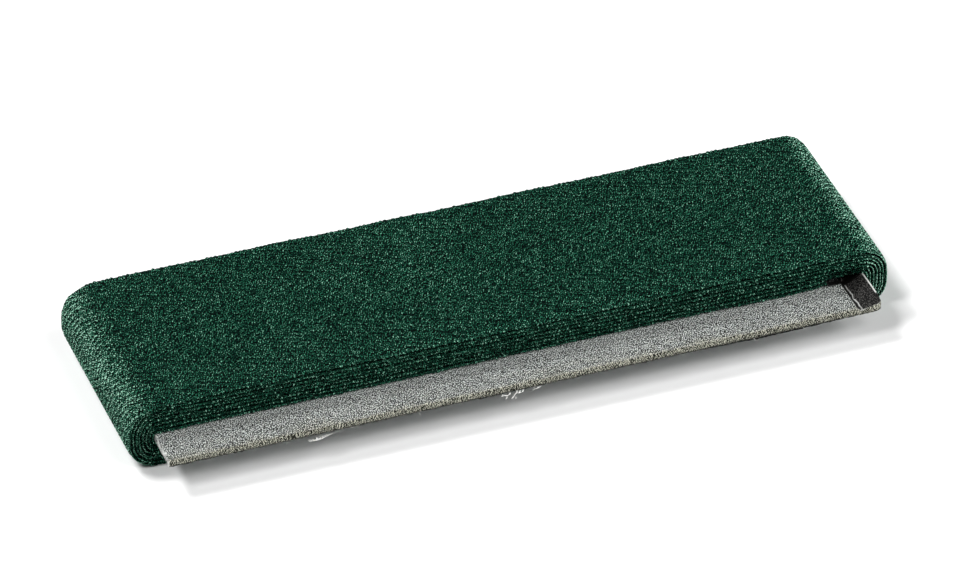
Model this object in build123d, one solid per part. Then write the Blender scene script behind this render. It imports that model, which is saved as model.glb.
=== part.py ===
from build123d import *
import math
import os

# A card of woven twill tape: one long tape wound flat round a stiff board, with the board
# standing out along one side. X runs along the board, Y across the tape, +Z up.
# The origin is the middle of the whole thing's underside. Millimetres throughout.

# The tape
tape_width = 25.0
tape_thickness = 0.37
layers = 8

# How far apart the layers lie, from one face of the tape to the same face of the next
pitch_over_board = 0.53
pitch_under_board = 0.425
pitch_at_ends = 0.39

# The board
board_length = 87.2
board_width = 30.0
board_thickness = 1.05
board_stands_out = board_width - tape_width

# The board's crushed right end: past a crease it drops, then curls up to its cut edge
crease_inset = 2.4
crease_drop = 0.35
crease_gap = 0.25
curl_rise = 0.75
curl_reach = 6.0

# The innermost layer's room round the board, and the corners that it turns
board_clearance = 0.06
inner_corner_radius = 0.12

# The tape's two ends, and the strip of clear adhesive tape on the free end
inner_end_inset = 9.0
free_end_inset = 16.0
strip_length = 18.0
strip_width = 12.0
strip_thickness = 0.08
strip_slope = 0.5

# Worked out from the above: the board's faces and ends, and the sides of the tape.
# Both ends of the tape lie near the right end, so one layer fewer goes round it.
board_bottom = tape_thickness + (layers - 1) * pitch_under_board + board_clearance
board_top = board_bottom + board_thickness
left_bulk = board_clearance + (layers - 1) * pitch_at_ends + tape_thickness
right_bulk = board_clearance + (layers - 2) * pitch_at_ends + tape_thickness
whole_length = left_bulk + board_length + right_bulk
board_left = -whole_length / 2 + left_bulk
board_right = board_left + board_length
crease_x = board_right - crease_inset
tape_back = board_width / 2
tape_front = tape_back - tape_width
free_end_x = whole_length / 2 - free_end_inset

# Where the bends' corners are centred: these heights are the same for every layer
lower_corner_z = board_bottom - board_clearance + inner_corner_radius
left_corner_z = board_top + board_clearance - inner_corner_radius
right_corner_z = left_corner_z + curl_rise


def over_board(layer):
    """Height of a layer's underside where it runs above the board."""
    return board_top + board_clearance + layer * pitch_over_board


def over_curl(layer):
    """The same above the curled end, for layers 1 and up, which are pressed closer together there."""
    curl_top = over_board(0) + curl_rise
    last = layers - 1
    return curl_top + (layer - 1) / (last - 1) * (over_board(last) - curl_top)


def under_board(layer):
    """Height of a layer's upper face where it runs below the board."""
    return board_bottom - board_clearance - layer * pitch_under_board


def quarter(wall_x, outward, centre_z, radius, offset, first_deg):
    """An anticlockwise quarter turn whose inner face would touch x = wall_x."""
    centre_x = wall_x - outward * radius
    reach = radius + offset
    points = []
    for turned in (0, 45, 90):
        angle = math.radians(first_deg + turned)
        points.append(Vector(centre_x + reach * math.cos(angle), 0, centre_z + reach * math.sin(angle)))
    return ThreePointArc(*points)


def tape_face(offset):
    """One face of the tape from its inner end to its free end: arcs, and points between them."""
    stations = [Vector(board_right - inner_end_inset, 0, over_board(0) + offset)]
    for layer in range(layers):
        if layer > 0:
            stations.append(Vector(crease_x, 0, over_curl(layer) + offset))
            stations.append(Vector(crease_x - curl_reach, 0, over_board(layer) + offset))
        wall = board_left - board_clearance - layer * pitch_at_ends
        upper_radius = over_board(layer) - left_corner_z
        lower_radius = lower_corner_z - under_board(layer)
        stations.append(quarter(wall, -1, left_corner_z, upper_radius, offset, 90))
        stations.append(quarter(wall, -1, lower_corner_z, lower_radius, offset, 180))
        if layer == layers - 1:
            break
        wall = board_right + board_clearance + layer * pitch_at_ends
        upper_radius = over_curl(layer + 1) - right_corner_z
        stations.append(quarter(wall, 1, lower_corner_z, lower_radius, offset, 270))
        stations.append(quarter(wall, 1, right_corner_z, upper_radius, offset, 0))
    stations.append(Vector(free_end_x, 0, under_board(layers - 1) - offset))
    return stations


def joined(stations):
    """The edges through the stations in order, with a straight line across each gap."""
    edges = []
    here = None
    for station in stations:
        is_point = isinstance(station, Vector)
        start = station if is_point else station @ 0
        if here is not None:
            edges.append(Line(here, start))
        if not is_point:
            edges.append(station)
        here = station if is_point else station @ 1
    return edges


def along_y(edges, first_y, last_y):
    """The solid between two values of y whose outline is the edges."""
    face = Face(Wire(edges))
    return Pos(0, first_y, 0) * extrude(face, amount=last_y - first_y, dir=(0, 1, 0))


def end_strip():
    """The adhesive strip, from the free end's underside across its step to the layer above."""
    step = pitch_under_board
    middle = free_end_x + strip_slope / 2
    lower = [
        (middle - strip_length / 2, 0),
        (free_end_x, 0),
        (free_end_x + strip_slope, step),
        (middle + strip_length / 2, step),
    ]
    outline = lower + [(x, z + strip_thickness) for x, z in reversed(lower)]
    corners = [Vector(x, 0, z) for x, z in outline]
    middle_y = (tape_front + tape_back) / 2
    edges = joined(corners + corners[:1])
    return along_y(edges, middle_y - strip_width / 2, middle_y + strip_width / 2)


def tape(strip):
    """The whole winding as one strip of cloth, with a shallow seat where the adhesive is pressed in."""
    outside = joined(tape_face(tape_thickness))
    inside = joined(tape_face(0))
    ends = [
        Line(outside[0] @ 0, inside[0] @ 0),
        Line(outside[-1] @ 1, inside[-1] @ 1),
    ]
    return along_y(outside + ends + inside, tape_front, tape_back) - strip


def card():
    """The board: flat as far as the crease, where its upper face is split and curls up."""
    outline = [
        (board_left, board_bottom),
        (board_right, board_bottom),
        (board_right, board_top + curl_rise),
        (crease_x + crease_gap, board_top - crease_drop),
        (crease_x, board_top),
        (board_left, board_top),
    ]
    corners = [Vector(x, 0, z) for x, z in outline]
    return along_y(joined(corners + corners[:1]), tape_front - board_stands_out, tape_back)


strip = end_strip()
nodes = {"tape": tape(strip), "card": card(), "end_strip": strip}

os.makedirs("parts", exist_ok=True)
for name, shape in nodes.items():
    export_step(shape, f"parts/{name}.step")
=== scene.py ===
import bpy
import math
import numpy as np
from mathutils import Matrix, Vector


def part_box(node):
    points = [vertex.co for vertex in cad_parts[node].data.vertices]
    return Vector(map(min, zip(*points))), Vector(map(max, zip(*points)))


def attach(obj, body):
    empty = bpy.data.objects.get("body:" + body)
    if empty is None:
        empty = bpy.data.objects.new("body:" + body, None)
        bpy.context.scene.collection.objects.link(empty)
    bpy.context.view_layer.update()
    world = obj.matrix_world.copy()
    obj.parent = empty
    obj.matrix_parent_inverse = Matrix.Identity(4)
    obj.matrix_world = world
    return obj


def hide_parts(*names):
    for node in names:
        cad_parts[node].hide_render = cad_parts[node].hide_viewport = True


# A flat winding of herringbone twill tape on a greyboard card. Lengths are in millimetres
# until a mesh is made, and every mesh is in the frame that the CAD model uses.
MM = 0.001
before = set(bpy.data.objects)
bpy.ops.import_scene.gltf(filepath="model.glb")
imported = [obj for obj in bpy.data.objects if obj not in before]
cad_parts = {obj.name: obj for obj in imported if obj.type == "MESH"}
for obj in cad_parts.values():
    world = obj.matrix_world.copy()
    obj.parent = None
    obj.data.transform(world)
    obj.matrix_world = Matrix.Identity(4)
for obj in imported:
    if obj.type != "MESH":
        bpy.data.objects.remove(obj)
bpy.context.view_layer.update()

# ---------------------------------------------------------------- driving sizes
# The pitches are from one layer of tape to the next, over the board, under it and round its ends.
# The board's right end is creased and curls up, so that the layers over it lie higher there.
TAPE_THICKNESS = 0.37
LAYERS = 8
PITCH_OVER = 0.53
PITCH_UNDER = 0.425
PITCH_ENDS = 0.39
BOARD_THICKNESS = 1.05
CREASE_INSET = 2.4
CURL_RISE = 0.75
CURL_REACH = 6.0
CLEARANCE = 0.06
INNER_RADIUS = 0.12
INNER_END_INSET = 4.8
FREE_END_INSET = 16.0


def box_mm(name):
    low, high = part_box(name)
    return [c / MM for c in low], [c / MM for c in high]


(board_left, board_front, board_bottom), (board_right, board_back, _) = box_mm("card")
(_, tape_front, _), (tape_right, tape_back, tape_top) = box_mm("tape")
board_top = board_bottom + BOARD_THICKNESS
crease_x = board_right - CREASE_INSET
tape_width = tape_back - tape_front


# ---------------------------------------------------------------- shaping helpers
NOISE_TABLE = 256
CHANCE_TABLE = 8192
CHANCE_STRIDES = (73, 1291, 4001)


def smooth_noise(x, y, seed):
    """Smooth noise from -1 to 1, one feature per unit, on arrays of places. So x / 0.3 has features
    0.3 mm long. Each use of noise or chance has its own seed."""
    table = np.random.default_rng(seed).uniform(-1, 1, (NOISE_TABLE, NOISE_TABLE))
    x, y = np.broadcast_arrays(x, y)
    column = np.floor(x).astype(int)
    row = np.floor(y).astype(int)
    right, up = x - column, y - row
    right = right * right * (3 - 2 * right)
    up = up * up * (3 - 2 * up)

    def corner(i, j):
        return table[(column + i) % NOISE_TABLE, (row + j) % NOISE_TABLE]

    low = corner(0, 0) + (corner(1, 0) - corner(0, 0)) * right
    high = corner(0, 1) + (corner(1, 1) - corner(0, 1)) * right
    return low + (high - low) * up


def noise_along(place, seed):
    """Smooth noise from -1 to 1 along one axis."""
    return smooth_noise(place, 0.5, seed)


def chance(seed, *numbers):
    """A random value from 0 to 1 for each set of whole numbers."""
    table = np.random.default_rng(seed).uniform(0, 1, CHANCE_TABLE)
    mixed = sum(n.astype(int) * stride for n, stride in zip(numbers, CHANCE_STRIDES))
    return table[mixed % CHANCE_TABLE]


def clamped(value):
    """The value held between 0 and 1."""
    return np.clip(value, 0, 1)


def hump(distance_from, reach):
    """1 at no distance, falling smoothly to almost nothing at twice the reach."""
    return np.exp(-((distance_from / reach) ** 2))


# ---------------------------------------------------------------- the weave
END_PITCH = 25.0 / 120
PICK_PITCH = 0.508
CHEVRON_COLUMNS = 3
YARN_WAVE = 0.060
YARN_ROUND = 0.070
PICK_ROUND = 0.050
PICK_SINK = 0.060
CROWN_SLIP = 0.4
# The weft shows only in the grooves between the warp floats, so it gets painted shade
SHADED_WEFT_LIGHT = 0.3
SAMPLES_PER_PICK = 4
SAMPLES_PER_END = 3
QUARTER_TURN = math.pi / 2
FLOAT_TURNS = 4


def weave(along, across):
    """A broken 2/2 twill: its height, a tone from 0 to 1 for each float, and a painted light from 0 to
    about 1: a painted glint near each float's crown, and painted shade between the yarns and on the weft."""
    ends, picks = across / END_PITCH, along / PICK_PITCH
    chevron = np.clip(np.floor(across / (tape_width / CHEVRON_COLUMNS)), 0, CHEVRON_COLUMNS - 1)
    lean = np.where(chevron % 2 == 0, 1.0, -1.0)
    end = np.floor(ends + 1e-6)
    pick = np.round(picks)
    end_round = 1 - (2 * (ends - end) - 1) ** 2
    pick_round = 1 - (2 * (picks - pick)) ** 2
    warp_turn = picks - lean * end - 0.5
    weft_turn = pick - lean * (ends - 0.5) - 0.5
    warp = YARN_WAVE * np.cos(QUARTER_TURN * warp_turn) + YARN_ROUND * end_round
    weft = -YARN_WAVE * np.cos(QUARTER_TURN * weft_turn) + PICK_ROUND * pick_round - PICK_SINK
    warp_is_up = warp >= weft
    warp_float = np.floor((warp_turn + 1) / FLOAT_TURNS)
    weft_float = np.floor((weft_turn + 3) / FLOAT_TURNS)
    # each float's painted glint is brightest at its crown, which isn't quite in its middle
    slip = CROWN_SLIP * (chance(13, end, warp_float, chevron) - 0.5)
    warp_crown = np.cos(QUARTER_TURN * (warp_turn + slip))
    weft_crown = -np.cos(QUARTER_TURN * weft_turn)
    crown = clamped(np.where(warp_is_up, warp_crown, weft_crown))
    rounded = np.where(warp_is_up, end_round, pick_round)
    tone = np.where(warp_is_up, chance(11, end, warp_float, chevron), chance(12, pick, weft_float, chevron))
    # painted glint near the crowns of the warp floats, painted shade on the weft in the grooves
    lift = crown ** 4 * (0.6 + 0.4 * rounded) * np.where(warp_is_up, 0.65 + 0.7 * tone, SHADED_WEFT_LIGHT)
    return np.maximum(warp, weft), tone, lift


# ---------------------------------------------------------------- the tape's path
STEP = PICK_PITCH / SAMPLES_PER_PICK
ARC_POINTS = 24
CORNER_EASE = 3
TOP_WAVE = 0.05


def over_board(layer):
    return board_top + CLEARANCE + layer * PITCH_OVER


def over_curl(layer):
    curl_top = over_board(0) + CURL_RISE
    return curl_top + (layer - 1) / (LAYERS - 2) * (over_board(LAYERS - 1) - curl_top)


def under_board(layer):
    return board_bottom - CLEARANCE - layer * PITCH_UNDER


def quarter(wall, side, centre_z, radius, first_deg):
    """A quarter turn of the tape's middle, whose inner face would touch x = wall. side is 1 at
    the right end and -1 at the left."""
    angle = np.radians(np.linspace(first_deg, first_deg + 90, ARC_POINTS))
    reach = radius + TAPE_THICKNESS / 2
    x = wall - side * radius + reach * np.cos(angle)
    return np.column_stack([x, centre_z + reach * np.sin(angle)])


def winding_path():
    """The middle of the tape's thickness, from its inner end to its free end, as points (x, z)."""
    half = TAPE_THICKNESS / 2
    low_z = board_bottom - CLEARANCE + INNER_RADIUS
    left_z = board_top + CLEARANCE - INNER_RADIUS
    right_z = left_z + CURL_RISE
    points = [[(board_right - INNER_END_INSET, over_board(0) + half)]]
    for layer in range(LAYERS):
        if layer > 0:
            points.append([(crease_x, over_curl(layer) + half)])
            points.append([(crease_x - CURL_REACH, over_board(layer) + half)])
        upper, lower = over_board(layer) - left_z, low_z - under_board(layer)
        wall = board_left - CLEARANCE - layer * PITCH_ENDS
        points.append(quarter(wall, -1, left_z, upper, 90))
        points.append(quarter(wall, -1, low_z, lower, 180))
        if layer < LAYERS - 1:
            wall = board_right + CLEARANCE + layer * PITCH_ENDS
            points.append(quarter(wall, 1, low_z, lower, 270))
            points.append(quarter(wall, 1, right_z, over_curl(layer + 1) - right_z, 0))
    points.append([(tape_right - FREE_END_INSET, under_board(LAYERS - 1) - half)])
    return np.vstack(points)


def run_along(first, second):
    """How far along a line each of its points lies, from their places on two axes."""
    return np.concatenate([[0], np.cumsum(np.hypot(np.diff(first), np.diff(second)))])


def evenly(points, step):
    """The same path with a point every step, and its length."""
    length = run_along(points[:, 0], points[:, 1])
    places = np.arange(0, length[-1], step)
    return np.column_stack([np.interp(places, length, points[:, i]) for i in (0, 1)]), length[-1]


def softened(points, reach):
    """The path with its corners eased over that many points."""
    weights = np.hanning(2 * reach + 3)[1:-1]
    weights = weights / weights.sum()
    padded = np.pad(points, ((reach, reach), (0, 0)), mode="reflect", reflect_type="odd")
    return np.column_stack([np.convolve(padded[:, i], weights, mode="valid") for i in (0, 1)])


def above_board(z):
    """0 at the board's upper face and below it, 1 at the top of the winding."""
    return clamped((z - board_top) / (tape_top - board_top))


path, tape_length = evenly(winding_path(), STEP)
path = softened(path, CORNER_EASE)
path[:, 1] += above_board(path[:, 1]) * TOP_WAVE * noise_along(path[:, 0] / 17, 3)
distance = np.arange(len(path)) * STEP
heading = np.gradient(path, axis=0)
heading /= np.linalg.norm(heading, axis=1)[:, None]
outward = np.column_stack([heading[:, 1], -heading[:, 0]])


def slipped(at_x, reach_x, at_z, reach_z):
    """How much each place on the path belongs to a spot where the layers have slipped, 0 to 1."""
    return hump(path[:, 0] - at_x, reach_x) * hump(path[:, 1] - at_z, reach_z)


# How far each place on the path lies back from its true line: every turn wanders and wobbles a
# little, one has slipped back at the far left corner, the lowest ones over the card have slipped
# back beside the crease and leave a hollow there, and the lowest one has slipped forward, left of it
WANDER = 0.16
WOBBLE = 0.05
SELVAGE_WAVE = 0.045
CORNER_SLIP = 0.20
HOLLOW_DEPTH = 0.42
FORWARD_SLIP = 0.30
hollow = clamped(1.6 * slipped(crease_x - 0.3, 2.3, over_board(1) + 0.25, 1.0))
sideways = WANDER * noise_along(distance / 60, 5) + WOBBLE * noise_along(distance / 9, 6)
sideways += SELVAGE_WAVE * noise_along(distance / 2.1, 7)
sideways += CORNER_SLIP * slipped(board_left - 1.0, 7.0, over_board(5) - 0.4, 0.75)
sideways += HOLLOW_DEPTH * hollow
sideways -= FORWARD_SLIP * slipped(crease_x - 10.0, 6.0, over_board(0), 0.6)


# ---------------------------------------------------------------- meshes
def mesh_object(name, points, corners, sizes, values):
    """An object from points in millimetres, the corners of all its faces, the number of corners of
    each face, and a value on every point for each name in values."""
    mesh = bpy.data.meshes.new(name)
    mesh.vertices.add(points.size // 3)
    mesh.vertices.foreach_set("co", (points * MM).astype(np.float32).ravel())
    mesh.loops.add(len(corners))
    mesh.loops.foreach_set("vertex_index", corners.astype(np.int32))
    mesh.polygons.add(len(sizes))
    starts = np.concatenate([[0], np.cumsum(sizes)[:-1]])
    mesh.polygons.foreach_set("loop_start", starts.astype(np.int32))
    mesh.polygons.foreach_set("use_smooth", np.ones(len(sizes), bool))
    for key, value in values.items():
        layer = mesh.attributes.new(key, "FLOAT", "POINT")
        layer.data.foreach_set("value", value.astype(np.float32).ravel())
    mesh.update(calc_edges=True)
    mesh.validate()
    return linked(name, mesh)


def linked(name, data):
    """A new object in the scene that holds a mesh, a lamp or a camera."""
    obj = bpy.data.objects.new(name, data)
    bpy.context.scene.collection.objects.link(obj)
    return obj


def tube_mesh(name, points, **values):
    """A closed mesh from rows of points, where each row is a loop, with a flat face at both ends."""
    rows, around = points.shape[:2]
    row = np.arange(rows - 1)[:, None] * around
    spot = np.arange(around)[None, :]
    after = (spot + 1) % around
    quads = np.stack([row + spot, row + after, row + around + after, row + around + spot], axis=-1)
    first_end = np.arange(around)[::-1]
    last_end = (rows - 1) * around + np.arange(around)
    corners = np.concatenate([quads.reshape(-1), first_end, last_end])
    sizes = np.concatenate([np.full((rows - 1) * around, 4), [around, around]])
    return mesh_object(name, points, corners, sizes, values)


# ---------------------------------------------------------------- the tape
EDGE_RADIUS = TAPE_THICKNESS / 2
FACE_WIDTH = tape_width - 2 * EDGE_RADIUS
EDGE_POINTS = 6
SMALLEST_LOOP = 0.25
BEND_LOOP = 0.28
LOOP_JITTER = 0.15
EDGE_TAPER = 0.22
BEND_TAPER = 0.25
TAPER_REACH = 0.7
FLUTTER = 0.07
DROOP = 0.12
DROOP_REACH = 0.9
# The painted glint on the selvage loops, and the painted shade on them in the hollow and at the left end
EDGE_GLINT = 2.9
HOLLOW_SHADE = 0.92
LEFT_END_SHADE = 0.58
FACE_LIFT = 0.05
EDGE_STRETCH_AND_SHEEN = 0.3
OUTER_TURN_LENGTH = 200.0


def face_stations(woven):
    """Where the points of one face lie, measured across the tape from the start of its flat part."""
    if woven:
        columns = round(FACE_WIDTH / END_PITCH * SAMPLES_PER_END) + 1
        return np.linspace(0, FACE_WIDTH, columns)
    margin = np.array([0, 0.25, 0.6, 1.2])
    return np.concatenate([margin, np.linspace(3, FACE_WIDTH - 3, 4), FACE_WIDTH - margin[::-1]])


def tape_section(outer):
    """The tape's section as one loop: along the outer face, round the far selvage, back along the
    inner face and round the near selvage. Gives each point's place across the tape, its height over
    the tape's middle, and how near the middle of its selvage it is, from 0 to 1."""
    inner = face_stations(False)[::-1]
    bend = np.radians(np.linspace(90, -90, EDGE_POINTS + 2)[1:-1])
    reach, rise = EDGE_RADIUS * np.cos(bend), EDGE_RADIUS * np.sin(bend)
    across = np.concatenate([outer, FACE_WIDTH + reach, inner, -reach]) + EDGE_RADIUS
    outer_face, inner_face = np.full(len(outer), EDGE_RADIUS), np.full(len(inner), -EDGE_RADIUS)
    height = np.concatenate([outer_face, rise, inner_face, -rise])
    crown = np.concatenate([np.zeros_like(outer), np.cos(bend), np.zeros_like(inner), np.cos(bend)])
    return across[None, :], height[None, :], crown[None, :]


def stretch_of(normal):
    """How far the cloth is drawn open over a bend, and the painted sheen that lightens it there, from 0 on
    the flat, from its face's direction.
    """
    aside, upright = normal[:, :1], np.abs(normal[:, 1:])
    facing_down = clamped(-normal[:, 1:])
    left_bend = aside ** 2 * (0.57 + 1.42 * upright)
    # the right bend, which the lamps light less, gets a stronger painted sheen, more so where it faces down
    right_bend = 1.36 * np.abs(aside) ** 0.65 * (0.55 + 0.6 * upright + 0.3 * facing_down)
    return np.where(aside < 0, left_bend, right_bend)


def edge_glint_and_shade(loops, crown, round_end, facing_left, in_hollow):
    """How light each place on a selvage is: a painted glint at the crown of a loop, with painted shade
    in the hollow and at the left end of the winding."""
    painted_edge_light = (EDGE_GLINT * loops - 0.22) * (1 + 0.6 * round_end) * crown ** (1.0 + 2.9 * round_end)
    painted_edge_light = painted_edge_light * (1 - HOLLOW_SHADE * in_hollow)
    return painted_edge_light * (1 - np.where(facing_left, LEFT_END_SHADE, 0.0) * round_end)


def tape_strip(name, rows, woven):
    """A length of the tape as a closed strip, with the weave on its outer face or without."""
    middle, normal = path[rows], outward[rows]
    along = distance[rows][:, None]
    outer = face_stations(woven)
    across, height, crown = tape_section(outer)
    around = run_along(across[0], height[0])[None, :]
    is_edge = crown > 0
    to_edge = np.minimum(across, tape_width - across)
    round_end = np.abs(normal[:, :1])
    everywhere = np.zeros((len(rows), across.shape[1]))

    # the weft's loops round the selvage, one to a pick, no two alike, drawn flat over the bends
    turn = along / PICK_PITCH
    pick = np.floor(turn + 0.5)
    side = np.where(across > tape_width / 2, 1, 0)
    loop = np.abs(np.cos(math.pi * turn)) ** 0.8
    size = SMALLEST_LOOP + (1 - SMALLEST_LOOP) * chance(21, pick, side)
    loops = loop * size * (1 - 0.55 * round_end) + BEND_LOOP * round_end
    jitter = LOOP_JITTER * (1 - 0.7 * round_end) * (chance(22, pick, side) - 0.5) * loop
    rim = np.where(across < tape_width / 2, EDGE_RADIUS, tape_width - EDGE_RADIUS)
    across_now = np.where(is_edge, rim + (across - rim) * (0.55 + 1.05 * loops), across)
    taper = (EDGE_TAPER + BEND_TAPER * round_end) * hump(to_edge, TAPER_REACH)
    height = height * (np.where(is_edge, 0.94 + 0.26 * (loops - 0.5), 1.0) - taper)
    height = height + np.where(is_edge, jitter, 0.0)

    # what the material reads: a tone for each float or loop, and its painted light: a painted glint at the
    # crowns of floats and loops, and painted shade between the yarns, in the hollow and at the left end
    painted_edge_light = edge_glint_and_shade(loops, crown, round_end, normal[:, :1] < 0, hollow[rows][:, None])
    tone = np.where(is_edge, chance(23, pick, side), 0.5) + everywhere
    lift = np.where(is_edge, painted_edge_light + 0.02, FACE_LIFT) + everywhere
    # the bends' painted sheen and opened weave are weaker on the selvages
    stretch = stretch_of(normal) * np.where(is_edge, EDGE_STRETCH_AND_SHEEN, 1.0)
    if woven:
        face = slice(0, len(outer))
        relief, tone[:, face], lift[:, face] = weave(along, across[:, face])
        height = height + everywhere
        height[:, face] += (relief - YARN_WAVE) * np.clip(to_edge[:, face] / 0.5, 0.4, 1)

    # the selvages wander a little up and down, and the upper layers' edges droop
    flutter = FLUTTER * smooth_noise(along / 5, across / 12, 8)
    droop = DROOP * above_board(middle[:, 1:]) ** 2
    height = height + (flutter - droop) * hump(to_edge, DROOP_REACH)
    x = middle[:, :1] + normal[:, :1] * height
    y = tape_front + across_now + sideways[rows][:, None] + everywhere
    z = np.maximum(middle[:, 1:] + normal[:, 1:] * height, 0.0)
    return tube_mesh(name, np.stack([x, y, z], axis=-1), tone=tone, lift=lift, stretch=stretch,
                     along=along + everywhere, around=around + everywhere)


# The outer turn, which shows its face, starts under the board where the layer below it is covered
under_start = int(np.flatnonzero(distance > tape_length - OUTER_TURN_LENGTH)[0])
outer_turn = tape_strip("tape_outer_turn", np.arange(under_start, len(path)), True)
inner_turns = tape_strip("tape_inner_turns", np.arange(0, under_start + 1), False)


# ---------------------------------------------------------------- material helpers
def material(name):
    """An empty node material and its node tree, with a Principled shader on its output."""
    made = bpy.data.materials.new(name)
    made.use_nodes = True
    tree = made.node_tree
    return made, tree, tree.nodes["Principled BSDF"]


def node(tree, kind, settings=None, **inputs):
    """A node of that kind, with settings on the node and a value or a link for each input. An input
    is given by its name, or by its number as i0, i1 and so on."""
    made = tree.nodes.new("ShaderNode" + kind)
    for key, value in (settings or {}).items():
        setattr(made, key, value)
    for key, value in inputs.items():
        numbered = key[0] == "i" and key[1:].isdigit()
        fill(tree, made.inputs[int(key[1:]) if numbered else key], value)
    return made


def fill(tree, socket, value):
    """Links value into the socket, or sets it there if it isn't another node's output."""
    if isinstance(value, bpy.types.NodeSocket):
        tree.links.new(value, socket)
    else:
        socket.default_value = value


def attribute(tree, name):
    return node(tree, "Attribute", {"attribute_name": name}).outputs["Fac"]


def calculated(tree, operation, first, second):
    return node(tree, "Math", {"operation": operation}, i0=first, i1=second).outputs[0]


def times(tree, first, second):
    return calculated(tree, "MULTIPLY", first, second)


def total(tree, *parts):
    result = parts[0]
    for term in parts[1:]:
        result = calculated(tree, "ADD", result, term)
    return result


def vector(tree, operation, first, second):
    return node(tree, "VectorMath", {"operation": operation}, i0=first, i1=second).outputs[0]


def ramp(tree, factor, stops):
    """A colour ramp through stops of (place, colour)."""
    made = node(tree, "ValToRGB", None, Fac=factor)
    elements = made.color_ramp.elements
    while len(elements) < len(stops):
        elements.new(0.5)
    for element, (place, colour) in zip(elements, stops):
        element.position = place
        element.color = (*colour, 1)
    return made.outputs["Color"]


def mixed(tree, factor, first, second):
    """first where the factor is 0 and second where it is 1, each a colour or another node's output."""
    made = tree.nodes.new("ShaderNodeMix")
    made.data_type = "RGBA"
    tree.links.new(factor, made.inputs["Factor"])
    for socket, colour in ((made.inputs[6], first), (made.inputs[7], second)):
        fill(tree, socket, colour if isinstance(colour, bpy.types.NodeSocket) else (*colour, 1))
    return made.outputs[2]


def noise(tree, scale, detail, rough, place):
    inputs = {"Scale": scale, "Detail": detail, "Roughness": rough, "Vector": place}
    return node(tree, "TexNoise", None, **inputs).outputs["Fac"]


def object_place(tree):
    return node(tree, "TexCoord").outputs["Object"]


def raised_by(tree, shader, height, strength, depth):
    """Bump from a height, at most depth metres."""
    bump = node(tree, "Bump", None, Strength=strength, Distance=depth, Height=height)
    tree.links.new(bump.outputs["Normal"], shader.inputs["Normal"])


# What the lamps give a level surface, as a part of what makes pure white show as 255
FULL_LIGHT = 1.19


def paint(red, green, blue):
    """A shader colour from the 0 to 255 values it should show."""
    linear = [c / 255 / 12.92 if c <= 10 else ((c / 255 + 0.055) / 1.055) ** 2.4 for c in (red, green, blue)]
    return tuple(c / FULL_LIGHT for c in linear)


def speckle(tree, along, across, strength, detail):
    """Fine grain of about that size in millimetres along x and z, and across y, centred on 0."""
    scale = (1 / (along * MM), 1 / (across * MM), 1 / (along * MM))
    grain = noise(tree, 1.0, detail, 0.5, vector(tree, "MULTIPLY", object_place(tree), scale))
    return times(tree, calculated(tree, "SUBTRACT", grain, 0.5), strength)


GRAIN_ALONG = 0.12
GRAIN_ACROSS = 0.19
GRAIN_STEP = 0.9


def crisp(tree, place, strength):
    """Grain with no broad patches: noise less the noise a step away. place is in millimetres."""
    scale = (1 / GRAIN_ALONG, 1 / GRAIN_ACROSS, 1 / GRAIN_ALONG)
    scaled = vector(tree, "MULTIPLY", place, scale)
    grains = []
    for step in ((0, 0, 0), (GRAIN_STEP, 0, 0), (0, GRAIN_STEP, 0)):
        grains.append(noise(tree, 1.0, 0.0, 0.5, vector(tree, "ADD", scaled, step)))
    beside = times(tree, total(tree, grains[1], grains[2]), 0.5)
    return times(tree, calculated(tree, "SUBTRACT", grains[0], beside), strength)


# ---------------------------------------------------------------- the cloth's material
# Greens from the shade between the yarns to the glint of a raised fibre
GREENS = [
    (0.0, paint(0, 3, 3)), (0.09, paint(1, 24, 17)), (0.20, paint(8, 49, 38)), (0.31, paint(21, 75, 59)),
    (0.47, paint(36, 108, 82)), (0.67, paint(86, 163, 130)), (1.0, paint(178, 228, 205)),
]
# A place on the cloth is as light as its grain, its float's tone, a painted glint at the float's crown
# and painted shade between the yarns, and the bend it lies on, which draws the weave open and adds a painted
# sheen, make it
BRIGHTEST = 1.5
BASE_LIGHT = -0.10
# The painted sheen that lightens the bends
BEND_SHEEN = 0.13
GRAIN_LIGHT = 3.4
BEND_GRAIN = 0.8
SHADE_LIFT = 0.23
FLAT_CONTRAST = 0.38
BEND_CONTRAST = 1.72
TONE_LIGHT = 0.06
FUZZ_SCALE = 9000
FUZZ_DEPTH = 0.00004


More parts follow.
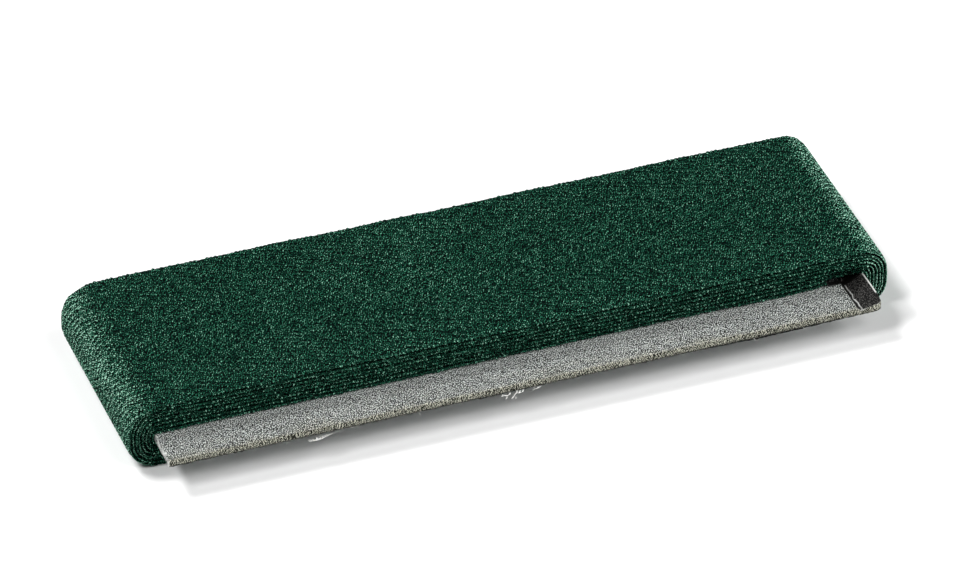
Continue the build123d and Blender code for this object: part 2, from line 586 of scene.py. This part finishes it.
def twill_cloth():
    """Bottle-green cotton, whose floats stand out more where a bend draws them open, with a painted glint on
    the floats' crowns, painted shade between the yarns and a painted sheen over the bends.
    """
    made, tree, shader = material("bottle_green_twill")
    tone, lift, stretch = attribute(tree, "tone"), attribute(tree, "lift"), attribute(tree, "stretch")
    along, around = attribute(tree, "along"), attribute(tree, "around")
    on_cloth = node(tree, "CombineXYZ", None, X=along, Y=around).outputs[0]
    opened = total(tree, times(tree, stretch, BEND_GRAIN), 1.0)
    grain = times(tree, crisp(tree, on_cloth, GRAIN_LIGHT), opened)
    contrast = total(tree, times(tree, stretch, BEND_CONTRAST), FLAT_CONTRAST)
    # painted glint on the floats' crowns and painted shade between the yarns, stronger over the bends
    raised = times(tree, calculated(tree, "SUBTRACT", lift, SHADE_LIFT), contrast)
    varied = times(tree, calculated(tree, "SUBTRACT", tone, 0.5), TONE_LIGHT)
    # the bends also get a painted sheen
    light = total(tree, grain, raised, varied, times(tree, stretch, BEND_SHEEN), BASE_LIGHT)
    light = calculated(tree, "DIVIDE", light, BRIGHTEST)
    tree.links.new(ramp(tree, light, GREENS), shader.inputs["Base Color"])
    fuzz = noise(tree, FUZZ_SCALE, 2, 0.6, object_place(tree))
    tree.links.new(total(tree, times(tree, fuzz, 0.3), 0.6), shader.inputs["Roughness"])
    raised_by(tree, shader, fuzz, 0.5, FUZZ_DEPTH)
    shader.inputs["Specular IOR Level"].default_value = 0.03
    shader.inputs["Sheen Weight"].default_value = 0.008
    shader.inputs["Sheen Roughness"].default_value = 0.3
    shader.inputs["Sheen Tint"].default_value = (0.6, 1.0, 0.8, 1)
    return made


cloth = twill_cloth()
for piece in (outer_turn, inner_turns):
    piece.data.materials.append(cloth)


# ---------------------------------------------------------------- the greyboard card
# The flap past the crease is drawn a little longer than the CAD solid's
FLAP_WIDTH = 3.15
FLAP_REACH = 2.8
FLAP_NARROWING = 0.5
FLAP_FRONT_RISE = 0.55
CREASE_DROP = 0.42
CREASE_GAP = 0.50
LIP_HEIGHT = 0.16
LIP_WIDTH = 0.055
LIP_PLACE = 0.12
CORNER_REACH = 0.9
CORNER_DEPTH = 0.38
FRAY_INSET = 13.5
FRAY_REACH = 7
PULP_BUMP = 0.010
FACE_SWELL = 0.015
RAGGED_DEPTH = 0.045
CRUSHED_DEPTH = 0.05
END_WEAR = 0.03
HANG_DEPTH = 0.30
FRAY_DEPTH = 0.30
COVERED_SHADE_REACH = 2.4
CARD_SPACING = 0.13
flap_x = board_right - FLAP_WIDTH


def box_faces(counts):
    """The quads over the six sides of a box of stations, as rows of point numbers."""
    quads = []
    for axis in range(3):
        first, second = [a for a in range(3) if a != axis]
        i, j = np.meshgrid(np.arange(counts[first] - 1), np.arange(counts[second] - 1), indexing="ij")
        for end in (0, counts[axis] - 1):
            ring = []
            for di, dj in ((0, 0), (1, 0), (1, 1), (0, 1)):
                index = [None] * 3
                index[axis], index[first], index[second] = np.full_like(i, end), i + di, j + dj
                ring.append((index[0] * counts[1] + index[1]) * counts[2] + index[2])
            if (axis == 1) == (end > 0):
                ring.reverse()
            quads.append(np.stack(ring, axis=-1).reshape(-1, 4))
    return np.concatenate(quads)


def box_mesh(name, xs, ys, zs, shape):
    """A closed mesh over the sides of a box of stations. shape turns the stations' places into
    points and a dictionary of named values."""
    counts = (len(xs), len(ys), len(zs))
    used, quads = np.unique(box_faces(counts), return_inverse=True)
    i, j, k = used // (counts[1] * counts[2]), used // counts[2] % counts[1], used % counts[2]
    points, values = shape(xs[i], ys[j], zs[k], (i, j, k), counts)
    corners = quads.reshape(-1)
    return mesh_object(name, points, corners, np.full(len(corners) // 4, 4), values)


def board_surface(x):
    """The height of the card's upper face: flat, down into the crease, and up over its curl."""
    stations = [board_left, flap_x, flap_x + CREASE_GAP, board_right]
    heights = [board_top, board_top, board_top - CREASE_DROP, board_top + CURL_RISE]
    return np.interp(x, stations, heights)


def curled_flap(x, y, up, past_crease, from_front):
    """The card's x and z, with a flap past the crease that curls up, is pressed flat at its front
    corner and grows narrower to the back. up is 0 at the card's lower face and 1 at its upper."""
    along_flap = clamped(past_crease / FLAP_REACH)
    pressed = along_flap ** 1.3 * clamped(1 - from_front / 3.2) ** 1.3
    in_front_of_tape = clamped((tape_front + 0.2 - y) / 0.4)
    curled = along_flap ** 1.5 * in_front_of_tape * clamped(from_front / 4.2) ** 2
    surface = board_surface(x) - CURL_RISE * pressed + FLAP_FRONT_RISE * curled
    narrowed = x - FLAP_NARROWING * along_flap * clamped((from_front - 1.2) / 3.0)
    return narrowed, board_bottom + up * (surface - board_bottom)


def rough_and_torn(x, y, z, side):
    """The same points with a pulpy face, ragged front and back edges that fray downwards, worn
    ends and a rounded front right corner."""
    torn = side["front"] | side["back"]
    rim = side["top"] | side["bottom"]
    grain = smooth_noise(x / 0.22, y / 0.22, 31) + 0.6 * smooth_noise(x / 0.5, y / 0.5, 32)
    swell = smooth_noise(x / 2.6, y / 2.6, 33)
    z = z + np.where(side["top"], PULP_BUMP * grain + FACE_SWELL * swell, 0)
    z = z - np.where(side["bottom"], PULP_BUMP * grain, 0)
    ragged = smooth_noise(x / 0.3, z / 0.16, 34) + 0.8 * smooth_noise(x / 1.1, z / 0.5, 35)
    crushed = CRUSHED_DEPTH + 0.03 * noise_along(x / 0.8, 36)
    inwards = np.where(side["front"], 1.0, 0) - np.where(side["back"], 1.0, 0)
    y = y + inwards * (RAGGED_DEPTH * ragged + 0.05 + np.where(rim, crushed, 0))
    z = z - np.where(torn & side["top"], CRUSHED_DEPTH + 0.03 * noise_along(x / 0.5, 37), 0)
    hang = clamped(noise_along(x / 0.45, 38)) * clamped(noise_along(x / 4, 39) + 0.3)
    frayed = hump(x - board_right + FRAY_INSET, FRAY_REACH) * (0.75 + 0.25 * noise_along(x / 0.9, 46))
    z = z - np.where(torn & side["bottom"], HANG_DEPTH * hang + FRAY_DEPTH * frayed - 0.03, 0)
    inwards = np.where(side["left"], 1.0, 0) - np.where(side["right"], 1.0, 0)
    x = x + inwards * (END_WEAR * smooth_noise(y / 0.4, z / 0.3, 40) + END_WEAR + np.where(rim, 0.04, 0))
    near_right = clamped(1 - (board_right - x) / CORNER_REACH)
    near_front = clamped(1 - (y - board_front) / CORNER_REACH)
    return x, y + CORNER_DEPTH * near_right ** 2 * near_front, z


def card_tones(x, y, z, up, side, past_crease, from_front, wander, lip):
    """Where the card is tan with age, dark inside its curl, pale where it is torn, along its left end's
    upper edge and along its front rim, with a painted highlight along the flap's end edge, black with
    painted shade in the crease's gap, along the lower rim of its torn edges and in the hollow under the
    lowest layers, and lighter with painted light near the tape. Each is from 0 to 1."""
    top, front = side["top"], side["front"]
    torn = front | side["back"]
    # painted light: the top face grows lighter towards the tape, making up for the shade the winding casts on
    # it
    near_tape = clamped(1 - (tape_front - y) / 2.6)
    painted_light_near_tape = np.where(top, near_tape, 0) * np.where(past_crease < 0, 1, 0.3)

    edge = np.maximum(torn, clamped(1.0 - (y - board_front) / 0.5) * 0.6)
    stained = clamped(1 - (y - board_front) / 2.2) * clamped(smooth_noise(x / 3, y / 1.2, 42) + 0.2)
    tan = clamped(edge + 0.55 * stained)

    dark_from = 0.1 + 0.12 * noise_along(y / 0.5, 43) - CREASE_GAP
    dark = np.where(top & (past_crease > dark_from) & ~front, 1.0, 0.0)

    # painted highlight along the upper edge of the flap's end
    cut_highlight = np.where(side["right"] | (top & side["right_margin"]), 1.3, 0)
    cut_highlight = cut_highlight * clamped((from_front - 1.5) / 0.4) * (up > 0.8)
    left_end_line = np.where(side["left"] | top, clamped(1 - (x - board_left) / 0.25), 0)
    left_end_line = left_end_line * clamped(0.55 + 0.9 * smooth_noise(y / 0.28, z / 0.25, 48))
    rim = np.where(front & top, 0.35 + 0.3 * noise_along(x / 0.6, 44), 0)
    pale = np.maximum.reduce([lip * 1.2, 1.5 * cut_highlight, 0.95 * left_end_line, rim])

    # painted shade: the torn front and back faces darken towards the bottom and go near black along their
    # lower rim
    underneath = np.where(torn, clamped(1 - up / 0.3) * 0.9 + 0.25 * (1 - up), 0)
    # painted shade: black in the crease's gap
    pit = clamped((past_crease + CREASE_GAP - 0.04) / 0.08) * clamped((0.09 + wander - past_crease) / 0.06)
    pit = pit * top * clamped((from_front - 0.3) / 0.3)
    # painted shadow on the card in the hollow under the lowest layers beside the crease
    beside_crease = hump(x - crease_x + 0.5, COVERED_SHADE_REACH)
    in_hollow = clamped(1.5 * beside_crease * clamped((y - tape_front - 0.05) / 0.2))
    in_hollow = in_hollow * clamped((tape_front + 1.3 - y) / 0.4) * top
    # low is all the painted shade, mixed in as UNDER_SHADE
    low = np.maximum.reduce([underneath, pit, in_hollow])
    return {"tan": tan, "dark": dark, "pale": clamped(pale) * (1 - in_hollow), "low": low, "painted_light_near_tape": painted_light_near_tape}


def shape_card(x, y, up, index, counts):
    """The card's points and tones, from the stations of a plain box."""
    i, j, k = index
    side = {
        "left": i == 0, "right": i == counts[0] - 1, "right_margin": i >= counts[0] - 4,
        "front": j == 0, "back": j == counts[1] - 1, "bottom": k == 0, "top": k == counts[2] - 1,
    }
    past_crease = x - flap_x - CREASE_GAP
    from_front = y - board_front
    x, z = curled_flap(x, y, up, past_crease, from_front)
    x, y, z = rough_and_torn(x, y, z, side)
    wander = 0.15 * noise_along(y / 0.9, 45) + 0.10 * noise_along(y / 0.35, 47)
    lip = hump(past_crease - LIP_PLACE - wander, LIP_WIDTH) * side["top"]
    lip = lip * (0.75 + 0.5 * noise_along(y / 0.3, 41))
    z = z + LIP_HEIGHT * lip
    tones = card_tones(x, y, z, up, side, past_crease, from_front, wander, lip)
    return np.column_stack([x, y, z]), tones


def card_stations():
    """Where the card's points lie along each axis, closer together at the crease and at the ends."""
    even = np.arange(board_left, board_right, CARD_SPACING)
    crease = flap_x + np.concatenate([[-0.06, 0, 0.02, 0.12, 0.22], np.arange(0.30, 1.0, 0.06)])
    ends = [board_left + 0.06, board_right - 0.18, board_right - 0.06, board_right]
    clear_of_crease = np.abs(even - flap_x - 0.44) > 0.54
    xs = np.unique(np.concatenate([even[clear_of_crease], crease, ends]))
    near = np.arange(board_front, tape_front + 2, CARD_SPACING)
    ys = np.concatenate([near, np.linspace(near[-1] + 0.3, board_back, 75)])
    return xs, ys, np.linspace(0, 1, 10)


# ---------------------------------------------------------------- the card's loose fibres
SLIVER_RINGS = 9
SLIVER_SIDES = 6


def sliver(start, along, width, thickness, bow):
    """A torn paper sliver: a tapered, flattened strand from start, bowed sideways, as rings of points."""
    start, along, bow = Vector(start), Vector(along), Vector(bow)
    side = along.cross(Vector((0, 0, 1)))
    side = side.normalized() if side.length > 1e-6 else Vector((0, 1, 0))
    over = along.cross(side).normalized()
    rings = []
    for step in range(SLIVER_RINGS):
        done = step / (SLIVER_RINGS - 1)
        centre = start + along * done + bow * math.sin(math.pi * done)
        taper = math.sqrt(max(min(1, 4 * done + 0.15) * (1 - done), 0.02))
        size = taper * (0.75 + 0.25 * math.sin(9 * done + 20 * start.x))
        ring = []
        for corner in range(SLIVER_SIDES):
            angle = corner * 2 * math.pi / SLIVER_SIDES
            out = side * math.cos(angle) * width / 2 + over * math.sin(angle) * thickness / 2
            ring.append(centre + out * size)
        rings.append(ring)
    return rings


def sliver_mesh(name, slivers):
    """One mesh of closed slivers."""
    points, faces = [], []
    for rings in slivers:
        first = len(points)
        last = first + SLIVER_SIDES * (len(rings) - 1)
        points += [p * MM for ring in rings for p in ring]
        for base in range(first, last, SLIVER_SIDES):
            for c in range(SLIVER_SIDES):
                after = (c + 1) % SLIVER_SIDES
                faces.append((base + c, base + after, base + SLIVER_SIDES + after, base + SLIVER_SIDES + c))
        faces.append(tuple(range(last, last + SLIVER_SIDES)))
        faces.append(tuple(reversed(range(first, first + SLIVER_SIDES))))
    mesh = bpy.data.meshes.new(name)
    mesh.from_pydata(points, [], faces)
    mesh.validate()
    for polygon in mesh.polygons:
        polygon.use_smooth = True
    return linked(name, mesh)


def torn_strip(dice):
    """A torn strip over a row of teeth, left of the middle."""
    strip_start = (-26.5, board_front - 0.25, board_bottom - 0.45)
    made = [sliver(strip_start, (2.6, 0.15, 0.36), 0.36, 0.30, (0, -0.05, -0.06))]
    for number in range(9):
        x = -26.7 + 0.26 * number + dice.uniform(-0.06, 0.06)
        start = (x, board_front - 0.25, board_bottom - 0.48 + 0.035 * number)
        lean = (dice.uniform(-0.35, -0.1), dice.uniform(-0.15, 0.1), dice.uniform(0.2, 0.42))
        made.append(sliver(start, lean, 0.14, 0.24, (0.02, 0, 0)))
    return made


def barbed_shred(dice):
    """A torn shred with barbs near the middle."""
    # for each strand: x, how far below the card it starts, how far it goes along x, and up
    strands = [
        (-0.75, 0.00, -0.35, -0.35), (-1.05, 0.32, -0.70, 0.10), (-1.50, 0.00, -0.38, -0.42),
        (-1.78, 0.36, -0.55, -0.52), (-1.70, 0.72, -0.10, -0.36), (-2.72, 0.28, -0.26, -0.56),
        (-3.45, 0.22, 0.75, -0.06), (-2.30, 0.10, -0.50, -0.30), (-1.20, 0.05, -0.20, -0.30),
    ]
    made = []
    for x, below, along, rise in strands:
        start = (x, board_front - 0.10, board_bottom - below + 0.14)
        bow = (dice.uniform(-0.08, 0.08), 0, dice.uniform(-0.08, 0.08))
        made.append(sliver(start, (along, -0.12, rise), 0.20, 0.32, bow))
    fleck_start = (1.5, board_front, board_bottom + 0.02)
    made.append(sliver(fleck_start, (-1.2, -0.22, -0.16), 0.26, 0.15, (0, -0.06, 0)))
    return made


def strays(dice):
    """Single fibres along the whole lower front edge."""
    made = []
    for x in (-38.6, -33.2, -29.4, -23.3, -22.9, -21.6, -20.7, -13.5, -8.2, 0.5, 6.3, 11.8, 19.4, 27.7, 33.9):
        lean = (dice.uniform(-0.5, 0.5), dice.uniform(-0.3, -0.1), dice.uniform(-0.35, 0.02))
        made.append(sliver((x, board_front + 0.02, board_bottom + 0.03), lean, 0.13, 0.08, (0, 0, -0.05)))
    return made


def loose_fibres():
    """All the slivers that hang from the card's lower front edge, in two clusters and strays."""
    dice = np.random.default_rng(57)
    slivers = torn_strip(dice) + barbed_shred(dice) + strays(dice)
    return sliver_mesh("card_torn_fibres", slivers)


# ---------------------------------------------------------------- the card's materials
# Greys of the card's face, its torn edge and the dark inside of its curl, each from dark to light
FACE_GREYS = [(0.0, paint(4, 8, 6)), (0.5, paint(108, 113, 110)), (1.0, paint(226, 231, 227))]
EDGE_GREYS = [(0.0, paint(12, 14, 6)), (0.5, paint(93, 96, 83)), (1.0, paint(222, 222, 204))]
CURL_GREYS = [(0.0, paint(3, 3, 3)), (0.5, paint(25, 25, 25)), (1.0, paint(86, 85, 83))]
UNDER_SHADE = paint(6, 7, 5)
FIBRE_WHITE = paint(240, 242, 238)
# Brighter than white: the torn fibres' pale colour with a painted glow of light shining through them
BARB_WHITE_AND_GLOW = paint(264, 264, 258)
PULP_LEVEL = 0.385


def pulp_grain(tree):
    """The card's grain and its faint broad blotches, both centred on 0."""
    on_card = node(tree, "VectorMath", {"operation": "SCALE"}, i0=object_place(tree), Scale=1 / MM).outputs[0]
    grain = total(tree, speckle(tree, 0.13, 0.20, 2.0, 0.0), crisp(tree, on_card, 3.0))
    return grain, speckle(tree, 1.3, 1.3, 0.10, 2.0)


def pulp_finish(tree, shader, colour, pulp):
    """Matt, slightly rough paper of that colour."""
    tree.links.new(colour, shader.inputs["Base Color"])
    tree.links.new(total(tree, times(tree, pulp, 0.2), 0.75), shader.inputs["Roughness"])
    raised_by(tree, shader, pulp, 0.7, 0.00005)
    shader.inputs["Specular IOR Level"].default_value = 0.15


def greyboard():
    made, tree, shader = material("greyboard")
    grain, blotch = pulp_grain(tree)
    pulp = total(tree, grain, blotch, PULP_LEVEL)
    rough_pulp = total(tree, times(tree, grain, 1.3), blotch, PULP_LEVEL)
    # painted light: the card's face is lighter near the tape
    pulp = total(tree, pulp, times(tree, attribute(tree, "painted_light_near_tape"), 0.14))
    streaks = total(tree, pulp, speckle(tree, 0.35, 1.3, 1.3, 1.0))
    face, edge = ramp(tree, pulp, FACE_GREYS), ramp(tree, rough_pulp, EDGE_GREYS)
    colour = mixed(tree, attribute(tree, "tan"), face, edge)
    colour = mixed(tree, attribute(tree, "dark"), colour, ramp(tree, streaks, CURL_GREYS))
    # painted shade: the lower rim of the torn edges, the crease's gap and the hollow under the layers go near
    # black
    colour = mixed(tree, attribute(tree, "low"), colour, UNDER_SHADE)
    # pale torn lip, left end line and front rim, and the painted highlight on the flap's end edge
    colour = mixed(tree, attribute(tree, "pale"), colour, FIBRE_WHITE)
    pulp_finish(tree, shader, colour, pulp)
    return made


def torn_pulp():
    made, tree, shader = material("torn_pulp")
    grain, blotch = pulp_grain(tree)
    pulp = total(tree, grain, blotch, PULP_LEVEL)
    # the hanging fibres are pale, with a painted glow of light shining through them
    pulp_finish(tree, shader, ramp(tree, pulp, [(0.1, FIBRE_WHITE), (0.6, BARB_WHITE_AND_GLOW)]), pulp)
    return made


card = box_mesh("card_greyboard", *card_stations(), shape_card)
card.data.materials.append(greyboard())
fibres = loose_fibres()
fibres.data.materials.append(torn_pulp())


# ---------------------------------------------------------------- the clear strip
FILM_DARK = (0.62, 0.68, 0.66)
FILM_LIGHT = (0.80, 0.84, 0.82)


def clear_film():
    """Clear sticky film: thin, glossy and faintly wrinkled."""
    made, tree, shader = material("clear_film")
    place = vector(tree, "MULTIPLY", object_place(tree), (900, 160, 900))
    wrinkles = noise(tree, 1.0, 3.0, 0.5, place)
    smears = noise(tree, 400, 2.0, 0.5, object_place(tree))
    tree.links.new(ramp(tree, smears, [(0.3, FILM_DARK), (0.7, FILM_LIGHT)]), shader.inputs["Base Color"])
    tree.links.new(total(tree, times(tree, smears, 0.16), 0.03), shader.inputs["Roughness"])
    tree.links.new(total(tree, times(tree, wrinkles, 0.16), 0.12), shader.inputs["Alpha"])
    raised_by(tree, shader, wrinkles, 0.5, 0.00006)
    shader.inputs["IOR"].default_value = 1.47
    shader.inputs["Specular IOR Level"].default_value = 0.6
    return made


film = clear_film()
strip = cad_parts["end_strip"]
if not strip.material_slots:
    strip.data.materials.append(film)
for place in strip.material_slots:
    place.material = film


# ---------------------------------------------------------------- bodies
for piece in (card, fibres):
    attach(piece, "board")
    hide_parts("card")

for piece in (outer_turn, inner_turns):
    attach(piece, "winding")
    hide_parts("tape")


# ---------------------------------------------------------------- floor, light and camera
FLOOR_REACH = 3
FLOOR_DROP = 0.00002
FLOOR_WHITE = (0.94, 0.94, 0.94, 1)
LAMP_DISTANCE = 1.2


def pale_floor():
    """A matt floor, a hair below the object."""
    mesh = bpy.data.meshes.new("floor")
    corners = [(x * FLOOR_REACH, y * FLOOR_REACH, 0) for x, y in ((-1, -1), (1, -1), (1, 1), (-1, 1))]
    mesh.from_pydata(corners, [], [(0, 1, 2, 3)])
    made, _, shader = material("pale_floor")
    shader.inputs["Base Color"].default_value = FLOOR_WHITE
    shader.inputs["Roughness"].default_value = 1
    shader.inputs["Specular IOR Level"].default_value = 0
    mesh.materials.append(made)
    floor = linked("floor", mesh)
    floor.location.z = -FLOOR_DROP


def dim_studio():
    """A faint white glow from all sides."""
    world = bpy.data.worlds.new("studio")
    world.use_nodes = True
    background = world.node_tree.nodes["Background"]
    background.inputs["Color"].default_value = (1, 1, 1, 1)
    background.inputs["Strength"].default_value = 0.02
    bpy.context.scene.world = world
    bpy.context.scene.view_settings.view_transform = "Standard"


def towards(azimuth, elevation):
    """The direction of a place at an azimuth, anticlockwise from +X, and an elevation, in degrees."""
    around, above = math.radians(azimuth), math.radians(elevation)
    return Vector((math.cos(around) * math.cos(above), math.sin(around) * math.cos(above), math.sin(above)))


def softbox(name, azimuth, elevation, across, up, light):
    """A lamp that looks at the object from an azimuth and an elevation. light is what it gives a
    level white surface, as a part of full white."""
    away = towards(azimuth, elevation)
    lamp = bpy.data.lights.new(name, "AREA")
    lamp.shape = "RECTANGLE"
    lamp.size = across
    lamp.size_y = up
    lamp.energy = light * math.pi ** 2 * LAMP_DISTANCE ** 2 / away.z
    obj = linked(name, lamp)
    obj.location = away * LAMP_DISTANCE
    obj.rotation_mode = "QUATERNION"
    obj.rotation_quaternion = away.to_track_quat("Z", "Y")


pale_floor()
dim_studio()
softbox("back_left_softbox", 134, 55, 0.42, 0.22, 0.62)
softbox("left_softbox", 190, 54, 0.36, 0.24, 0.34)
softbox("right_softbox", 335, 38, 0.40, 0.36, 0.175)
softbox("low_right_softbox", 338, 15, 0.50, 0.24, 0.145)
softbox("front_softbox", 296, 54, 0.50, 0.40, 0.175)

# The camera's azimuth is 0 when it looks along +Y from the front
CAMERA_AZIMUTH = -20.95
CAMERA_ELEVATION = 36.36
CAMERA_ROLL = 0.59
CAMERA_DISTANCE = 0.8754
CAMERA_TARGET = Vector((0.00463, 0.01038, 0))
CAMERA_LENS = 274.7
FRONT = -90


def place_camera():
    data = bpy.data.cameras.new("camera")
    data.sensor_width = 36
    data.lens = CAMERA_LENS
    data.clip_start = 0.05
    data.clip_end = 10
    camera = linked("camera", data)
    away = towards(FRONT + CAMERA_AZIMUTH, CAMERA_ELEVATION)
    camera.location = CAMERA_TARGET + away * CAMERA_DISTANCE
    level = (-away).to_track_quat("-Z", "Y").to_matrix()
    turned = level @ Matrix.Rotation(math.radians(CAMERA_ROLL), 3, "Z")
    camera.rotation_euler = turned.to_euler()
    bpy.context.scene.camera = camera


place_camera()
